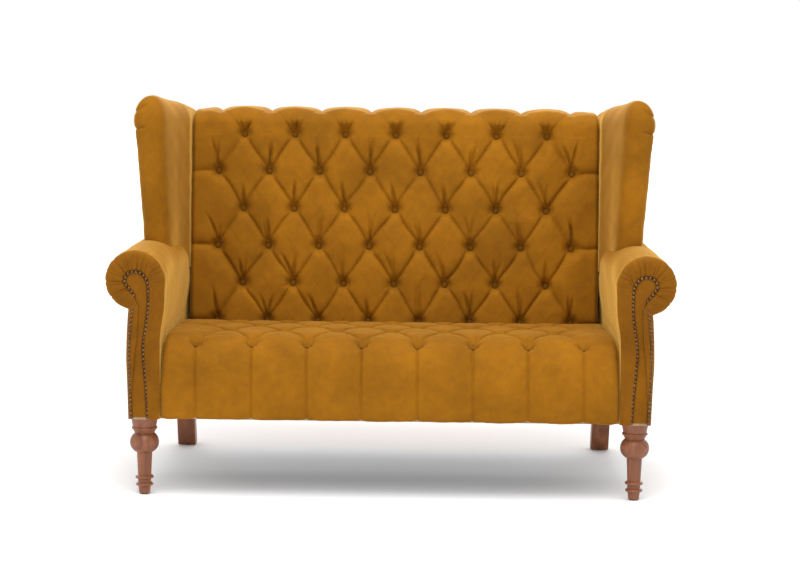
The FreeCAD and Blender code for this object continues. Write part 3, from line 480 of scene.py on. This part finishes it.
# ---------------------------------------------------------------- wings
def wing(side, material):
    """A padded wing, built as level sections from the arm up and closed by a dome, with two tucks at the
    front top corner."""
    brow, turns = 1.018, 220
    rows = []
    for z in np.linspace(0.575, brow, 150):
        rear = rear_face(z, 0.0045)
        up = np.clip((z - 0.60) / 0.43, 0, 1)
        nose = -0.104 - 0.007 * up
        outer = 0.7165 + 0.0360 * up ** 1.25
        inner = 0.660 - 0.016 * (1 - up)
        seam = 0.6135
        corners = [(inner + 0.004, nose + 0.003), (outer - 0.004, nose), (outer, nose + 0.040),
                   (outer - 0.30 * (outer - 0.7175), 0.10), (0.7175, rear), (seam, rear), (seam, 0.176),
                   (seam + 0.018, 0.090), (inner - 0.006, nose + 0.060)]
        fine = evenly(np.array(corners + corners[:1]), 0.0015)
        want, have = np.linspace(0, 1, turns, endpoint=False), np.linspace(0, 1, len(fine))
        ring = np.stack([np.interp(want, have, fine[:, k]) for k in range(2)], axis=1)
        # the front is rounded much more than the rear
        for _ in range(70):
            smooth = 0.25 * np.roll(ring, 1, 0) + 0.5 * ring + 0.25 * np.roll(ring, -1, 0)
            keep = smoothstep((ring[:, 1] - 0.10) / 0.08)[:, None] * 0.94
            ring = smooth + (ring - smooth) * keep
        rows.append(np.column_stack([ring, np.full(turns, z)]))
    # the dome: its crest falls away from the front to the rear, and it rounds off to every side
    last = rows[-1]
    crest_y = np.clip(last[:, 1], -0.052, rear - 0.002)
    crest_x = 0.698 - 0.046 * smoothstep((crest_y + 0.02) / 0.40)
    crest_z = 1.0925 - 0.095 * np.clip(crest_y + 0.02, 0, 1)
    for w in np.linspace(0, 1, 40)[1:]:
        out, rise = math.cos(w * math.pi / 2), math.sin(w * math.pi / 2) ** 0.94
        rows.append(np.column_stack([crest_x + (last[:, 0] - crest_x) * out,
                                     crest_y + (last[:, 1] - crest_y) * out,
                                     brow + (crest_z - brow) * rise]))
    points = np.array(rows)
    tangent_s = np.gradient(points, axis=0)
    tangent_t = np.roll(points, -1, 1) - np.roll(points, 1, 1)
    normal = np.cross(tangent_t, tangent_s)
    normal /= np.maximum(np.linalg.norm(normal, axis=2, keepdims=True), 1e-9)
    x, y, z = points[..., 0], points[..., 1], points[..., 2]
    # the tucks at the corner: a level one on the outer side and a curved one over the crown
    near = smoothstep((-y - 0.02) / 0.05)
    low = np.exp(-np.abs(z - 1.000 + 0.20 * (x - 0.735)) / 0.0028) * smoothstep((x - 0.703) / 0.018)
    bow = 1.046 + 0.024 * np.sin(np.clip((0.742 - x) / 0.045, 0, 1) * math.pi / 2)
    high = np.exp(-np.abs(z - bow) / 0.0030) * smoothstep((x - 0.700) / 0.015)
    push = (0.0065 * low + 0.0050 * high) * near
    push += 0.0010 * wander(y, z, 0.22, 81) + 0.0005 * wander(y, z, 0.07, 82)
    points = points - normal * push[..., None] * np.sign(normal[0, 60, 0] * (x[0, 60] - 0.68))
    return loft("wing_" + NAMES[side], points, side, material)


def loft(name, sections, side, material):
    """Closed rings joined into one skin, capped at both ends; side mirrors it."""
    count, turns = sections.shape[:2]
    verts = sections.reshape(-1, 3).copy()
    first, last = sections[0].mean(axis=0), sections[-1].mean(axis=0)
    verts = np.vstack([verts, first, last])
    verts[:, 0] *= side
    faces = []
    for i in range(count - 1):
        for j in range(turns):
            k = (j + 1) % turns
            faces.append((i * turns + j, i * turns + k, (i + 1) * turns + k, (i + 1) * turns + j))
    for j in range(turns):
        k = (j + 1) % turns
        faces.append((count * turns, k, j))
        faces.append((count * turns + 1, (count - 1) * turns + j, (count - 1) * turns + k))
    if side < 0:
        faces = [face[::-1] for face in faces]
    return finish_mesh(name, verts, faces, material)


# ---------------------------------------------------------------- outside back
def outside_back(material):
    """The cloth over the back's rear face, with rounded top corners and sides that bend forward."""
    slope = (BACK_HEIGHT - LEG_HEIGHT) / math.cos(RAKE)
    # the sides bend forward past the posts
    bend, lip = 0.0040, 0.0060
    turn = np.linspace(0, math.pi / 2, 6)
    out = ARM_OUTER + 0.0018 - bend + np.append(bend * np.sin(turn), bend)
    back = np.append(-bend * (1 - np.cos(turn)), -bend - lip)
    x = np.concatenate([-out[::-1], np.linspace(-out[0], out[0], 240)[1:-1], out])
    forward = np.concatenate([back[::-1], np.zeros(238), back])
    u = np.linspace(0.002, slope - 0.004, 140)
    uu, xx = np.meshgrid(u, x, indexing="ij")
    # the top corners round down to the wings' rear ends
    corner = 0.026 * np.clip((np.abs(xx) - 0.655) / (ARM_OUTER - 0.655), 0, 1) ** 2
    uu = uu - corner * np.clip(uu / slope, 0, 1) ** 6
    edge = np.maximum(np.minimum(ARM_OUTER - np.abs(xx), np.minimum(uu, slope - uu)), 0)
    v = -0.004 + 0.0045 * (1 - round_off(edge, 0.014))
    v += 0.0012 * np.sin(math.pi * (uu / slope)) * np.cos(xx / ARM_OUTER * math.pi / 2)
    pulls = 0.0007 * np.sin(xx * 2 * math.pi / 0.055 + 2 * np.sin(xx * 9)) * np.exp(-edge / 0.020)
    v += pulls * (edge > 0) + 0.0005 * wander(xx, uu, 0.3, 91)
    # the bend is left out where the arms' scrolls leave
    height = LEG_HEIGHT + uu * math.cos(RAKE)
    v += forward * smoothstep((np.abs(height - SCROLL_Z) - SCROLL_R - 0.005) / 0.015)
    y = BACK_FOOT + uu * math.sin(RAKE) + v * math.cos(RAKE)
    z = LEG_HEIGHT + uu * math.cos(RAKE) - v * math.sin(RAKE)
    return grid("outside_back", np.stack([xx, y, z], axis=-1), material)


# ---------------------------------------------------------------- materials
class Nodes:
    """A small helper that adds and links nodes in one material."""

    def __init__(self, name):
        self.material = bpy.data.materials.new(name)
        self.material.use_nodes = True
        self.tree = self.material.node_tree
        self.shader = self.tree.nodes["Principled BSDF"]

    def add(self, kind, **inputs):
        node = self.tree.nodes.new(kind)
        for key, number in inputs.items():
            node.inputs[key.replace("_", " ")].default_value = number
        return node

    def link(self, source, target):
        self.tree.links.new(source, target)

    def place(self, scale=(1, 1, 1)):
        coords = self.add("ShaderNodeTexCoord")
        mapping = self.add("ShaderNodeMapping")
        mapping.inputs["Scale"].default_value = scale
        self.link(coords.outputs["Object"], mapping.inputs["Vector"])
        return mapping.outputs["Vector"]

    def noise(self, vector, scale, detail=3.0, rough=0.5, distortion=0.0):
        node = self.add("ShaderNodeTexNoise", Scale=scale, Detail=detail, Roughness=rough,
                        Distortion=distortion)
        self.link(vector, node.inputs["Vector"])
        return node.outputs["Fac"]

    def ramp(self, value, *stops):
        node = self.tree.nodes.new("ShaderNodeValToRGB")
        ramp = node.color_ramp
        while len(ramp.elements) < len(stops):
            ramp.elements.new(0.5)
        for element, (at, colour) in zip(ramp.elements, stops):
            element.position = at
            element.color = (*colour, 1) if len(colour) == 3 else colour
        self.link(value, node.inputs["Fac"])
        return node.outputs["Color"]

    def mix(self, factor, a, b, mode="MIX"):
        node = self.tree.nodes.new("ShaderNodeMix")
        node.data_type = "RGBA"
        node.blend_type = mode
        if hasattr(factor, "links"):
            self.link(factor, node.inputs[0])
        else:
            node.inputs[0].default_value = factor
        for socket, source in ((node.inputs[6], a), (node.inputs[7], b)):
            if hasattr(source, "links"):
                self.link(source, socket)
            else:
                socket.default_value = (*source, 1)
        return node.outputs[2]

    def bump(self, *layers):
        """layers are (height, strength, distance)."""
        normal = None
        for height, strength, distance in layers:
            node = self.add("ShaderNodeBump", Strength=strength, Distance=distance)
            self.link(height, node.inputs["Height"])
            if normal:
                self.link(normal, node.inputs["Normal"])
            normal = node.outputs["Normal"]
        self.link(normal, self.shader.inputs["Normal"])

    def set(self, **numbers):
        for key, number in numbers.items():
            self.shader.inputs[key.replace("_", " ")].default_value = number


def velvet(name, front=1.0, shade_scale=1.0):
    """Ochre velvet; front is painted shade that darkens the arm fronts' facing surfaces by their place, tone
    is painted shade that darkens it all.
    """
    n = Nodes(name)
    here = n.place()
    broad = n.noise(here, 7.0, 3, 0.55, 0.4)
    nap = n.noise(here, 46.0, 4, 0.6)
    brushed = n.noise(n.place((1, 1, 0.35)), 240.0, 3, 0.6)
    pile = n.noise(here, 2600.0, 2, 0.6)
    # below 1, tone scales the whole colour down as painted shade
    dark, light = Vector((0.228, 0.087, 0.0026)) * shade_scale, Vector((0.314, 0.122, 0.0042)) * shade_scale
    base = n.ramp(broad, (0.32, tuple(dark)), (0.68, tuple(light)))
    tint = n.ramp(nap, (0.32, (0.86, 0.85, 0.82)), (0.70, (1.0, 1.0, 1.0)))
    fine = n.ramp(brushed, (0.35, (0.93, 0.93, 0.92)), (0.68, (1.0, 1.0, 1.0)))
    colour = n.mix(1.0, n.mix(1.0, base, tint, "MULTIPLY"), fine, "MULTIPLY")
    # painted shade: the surfaces near y -0.44 to -0.42, the arm fronts, are darkened by their place, not by
    # the lamps
    if front < 1.0:
        parts = n.add("ShaderNodeSeparateXYZ")
        n.link(here, parts.inputs[0])
        depth = n.add("ShaderNodeMapRange")
        depth.inputs["From Min"].default_value = -0.440
        depth.inputs["From Max"].default_value = -0.420
        n.link(parts.outputs["Y"], depth.inputs["Value"])
        shade = n.ramp(depth.outputs["Result"], (0.15, (front, 0.93 * front, 0.80 * front)), (1.0, (1, 1, 1)))
        colour = n.mix(1.0, colour, shade, "MULTIPLY")
    n.link(colour, n.shader.inputs["Base Color"])
    rough = n.ramp(nap, (0.3, (0.72, 0.72, 0.72)), (0.75, (0.88, 0.88, 0.88)))
    n.link(rough, n.shader.inputs["Roughness"])
    n.set(Sheen_Weight=0.80, Sheen_Roughness=0.30, Specular_IOR_Level=0.10)
    n.shader.inputs["Sheen Tint"].default_value = (1.0, 0.58, 0.13, 1)
    n.bump((brushed, 0.10, 0.0006), (pile, 0.25, 0.0003), (nap, 0.10, 0.0012))
    return n.material


def wood(name, dark, light, scale, gloss, coat):
    n = Nodes(name)
    here = n.place((1.0, 1.0, 0.10))
    grain = n.noise(here, 90.0 * scale, 5, 0.62, 1.2)
    figure = n.noise(n.place((1.0, 1.0, 0.22)), 16.0 * scale, 3, 0.5, 1.8)
    pores = n.noise(n.place((1, 1, 0.05)), 520.0 * scale, 2, 0.5)
    base = n.ramp(figure, (0.28, dark), (0.74, light))
    streak = n.ramp(grain, (0.36, (0.66, 0.62, 0.58)), (0.62, (1, 1, 1)))
    specks = n.ramp(pores, (0.30, (0.70, 0.66, 0.62)), (0.42, (1, 1, 1)))
    colour = n.mix(1.0, n.mix(0.8, base, streak, "MULTIPLY"), specks, "MULTIPLY")
    n.link(colour, n.shader.inputs["Base Color"])
    rough = n.ramp(grain, (0.3, (gloss + 0.10,) * 3), (0.7, (gloss,) * 3))
    n.link(rough, n.shader.inputs["Roughness"])
    n.set(Coat_Weight=coat, Coat_Roughness=0.22)
    n.bump((grain, 0.10, 0.0006), (pores, 0.10, 0.0003))
    return n.material


def brass():
    n = Nodes("antique_brass")
    here = n.place()
    patina = n.noise(here, 160.0, 3, 0.6)
    marks = n.noise(here, 900.0, 3, 0.6)
    colour = n.ramp(patina, (0.35, (0.075, 0.036, 0.015)), (0.70, (0.230, 0.120, 0.050)))
    n.link(colour, n.shader.inputs["Base Color"])
    n.link(n.ramp(marks, (0.3, (0.30,) * 3), (0.7, (0.48,) * 3)), n.shader.inputs["Roughness"])
    n.set(Metallic=0.95)
    n.bump((marks, 0.15, 0.0002))
    return n.material


def steel():
    n = Nodes("zinc_steel")
    here = n.place()
    marks = n.noise(here, 420.0, 3, 0.6)
    n.link(n.ramp(marks, (0.3, (0.42, 0.43, 0.45)), (0.7, (0.62, 0.63, 0.65))), n.shader.inputs["Base Color"])
    n.link(n.ramp(marks, (0.3, (0.28,) * 3), (0.7, (0.42,) * 3)), n.shader.inputs["Roughness"])
    n.set(Metallic=1.0)
    n.bump((marks, 0.1, 0.0002))
    return n.material


def cloth(name, dark, light, thread, rough):
    """A woven cloth: two crossed thread patterns in object space."""
    n = Nodes(name)
    here = n.place()
    waves = []
    for direction in ("X", "Y"):
        wave = n.add("ShaderNodeTexWave", Scale=thread, Distortion=0.6, Detail=1.0)
        wave.bands_direction = direction
        n.link(here, wave.inputs["Vector"])
        waves.append(wave.outputs["Fac"])
    weave = n.mix(0.5, waves[0], waves[1], "MULTIPLY")
    blot = n.noise(here, 30.0, 3, 0.5)
    base = n.ramp(blot, (0.3, dark), (0.7, light))
    n.link(n.mix(0.35, base, weave, "MULTIPLY"), n.shader.inputs["Base Color"])
    n.set(Roughness=rough, Sheen_Weight=0.2)
    n.bump((weave, 0.3, 0.0006))
    return n.material


def foam():
    n = Nodes("upholstery_foam")
    here = n.place()
    cells = n.add("ShaderNodeTexVoronoi", Scale=650.0)
    n.link(here, cells.inputs["Vector"])
    n.link(n.ramp(cells.outputs["Distance"], (0.1, (0.50, 0.42, 0.25)), (0.6, (0.72, 0.63, 0.42))),
           n.shader.inputs["Base Color"])
    n.set(Roughness=0.95)
    n.bump((cells.outputs["Distance"], 0.4, 0.0006))
    return n.material


def plastic():
    n = Nodes("glide_plastic")
    here = n.place()
    scuff = n.noise(here, 700.0, 3, 0.6)
    colour = n.ramp(scuff, (0.3, (0.020, 0.018, 0.016)), (0.7, (0.040, 0.036, 0.032)))
    n.link(colour, n.shader.inputs["Base Color"])
    n.set(Roughness=0.55)
    n.bump((scuff, 0.2, 0.0002))
    return n.material


def floor_material():
    n = Nodes("studio_floor")
    soft = n.noise(n.place(), 1.5, 2, 0.5)
    colour = n.ramp(soft, (0.3, (0.90, 0.90, 0.905)), (0.7, (0.92, 0.92, 0.925)))
    n.link(colour, n.shader.inputs["Base Color"])
    n.set(Roughness=0.7, Specular_IOR_Level=0.1)
    return n.material


# ---------------------------------------------------------------- the pieces on the frame
VELVET = velvet("ochre_velvet")
# the arms' velvet carries painted shade on the arm fronts
ARM_VELVET_FRONT_SHADED = velvet("ochre_velvet_arms_front_shade", front=0.72)
# painted shade: the buttons' velvet is darkened to stand for the shade in their wells
BUTTON_VELVET_SHADED = velvet("ochre_velvet_buttons_shaded", shade_scale=0.62)
LEG_WOOD = wood("leg_wood", (0.150, 0.040, 0.011), (0.330, 0.108, 0.034), 1.0, 0.40, 0.08)
TIMBER = wood("frame_timber", (0.42, 0.27, 0.14), (0.60, 0.44, 0.27), 0.7, 0.60, 0.0)
BY_SLOT = {"velvet": VELVET, "leg_wood": LEG_WOOD, "frame_timber": TIMBER, "antique_brass": brass(),
           "zinc_steel": steel(),
           "webbing": cloth("jute_webbing", (0.20, 0.14, 0.07), (0.34, 0.25, 0.14), 180, 0.9),
           "dust_cloth": cloth("dust_cloth", (0.012, 0.012, 0.012), (0.03, 0.03, 0.03), 320, 0.95),
           "foam": foam(), "glide_plastic": plastic()}
SLOTS = {part["node"]: part["material_slot"] for part in frame["record"]["subparts"]}
for node, thing in frame["nodes"].items():
    # buttons get the velvet darkened as painted shade
    material = BUTTON_VELVET_SHADED if "button" in node else BY_SLOT[SLOTS[node]]
    for place in thing.material_slots:
        place.material = material
    if not thing.material_slots:
        thing.data.materials.append(material)


def upholster(piece, fill, *nodes):
    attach(piece, "root")
    if nodes:
        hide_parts(*nodes)
    return piece


upholster(tufted_back(VELVET), 0.9, "back_cover", "back_foam")
upholster(tufted_seat(VELVET), 0.9, "seat_cover", "seat_foam", "seat_front_pad")
for side, name in NAMES.items():
    upholster(arm(side, ARM_VELVET_FRONT_SHADED), 0.9, f"inside_arm_cover_{name}", f"arm_roll_foam_{name}",
              f"arm_inside_foam_{name}", f"outside_arm_cover_{name}")
    upholster(arm_strip(side, ARM_VELVET_FRONT_SHADED), 0.8, f"arm_facing_{name}")
    upholster(wing(side, VELVET), 0.9, f"wing_cover_{name}", f"wing_foam_{name}")
back_panel = upholster(outside_back(VELVET), None, "outside_back_cover")

# ---------------------------------------------------------------- floor, light and camera
bpy.ops.mesh.primitive_plane_add(size=60, location=(0, 0, 0))
floor = bpy.context.object
floor.name = "floor"
floor.data.materials.append(floor_material())

world = bpy.data.worlds.new("studio")
bpy.context.scene.world = world
world.use_nodes = True
world.node_tree.nodes["Background"].inputs["Color"].default_value = (1, 1, 1, 1)
world.node_tree.nodes["Background"].inputs["Strength"].default_value = 1.02
bpy.context.scene.view_settings.view_transform = "Standard"


def area_light(name, place, target, size, power, tint=(1, 1, 1)):
    data = bpy.data.lights.new(name, "AREA")
    data.shape = "RECTANGLE"
    data.size, data.size_y = size
    data.energy = power
    data.color = tint
    lamp = bpy.data.objects.new(name, data)
    lamp.location = place
    lamp.rotation_euler = (Vector(target) - Vector(place)).to_track_quat("-Z", "Y").to_euler()
    bpy.context.scene.collection.objects.link(lamp)


area_light("key", (-0.6, -3.4, 3.8), (0, 0, 0.5), (3.0, 2.0), 48)
area_light("top", (0.2, -1.5, 4.3), (0, 0.5, 0.1), (3.4, 2.2), 120)
area_light("backdrop", (0, 22, 9), (0, 17, 0), (30, 10), 3500)

CAMERA = {"place": (0.0919, -6.1948, 1.2104), "yaw": -0.66, "pitch": -6.11, "roll": 0.62, "lens": 96.0}
yaw, pitch, roll = (math.radians(CAMERA[k]) for k in ("yaw", "pitch", "roll"))
right = Vector((math.cos(yaw), -math.sin(yaw), 0))
ahead = Vector((math.sin(yaw) * math.cos(pitch), math.cos(yaw) * math.cos(pitch), math.sin(pitch)))
up = right.cross(ahead)
right, up = (math.cos(roll) * right + math.sin(roll) * up, math.cos(roll) * up - math.sin(roll) * right)
lens = bpy.data.cameras.new("camera")
lens.lens = CAMERA["lens"]
lens.sensor_width = 36
camera = bpy.data.objects.new("camera", lens)
turn = Matrix((right, up, -ahead)).transposed().to_4x4()
camera.matrix_world = Matrix.Translation(CAMERA["place"]) @ turn
bpy.context.scene.collection.objects.link(camera)
bpy.context.scene.camera = camera
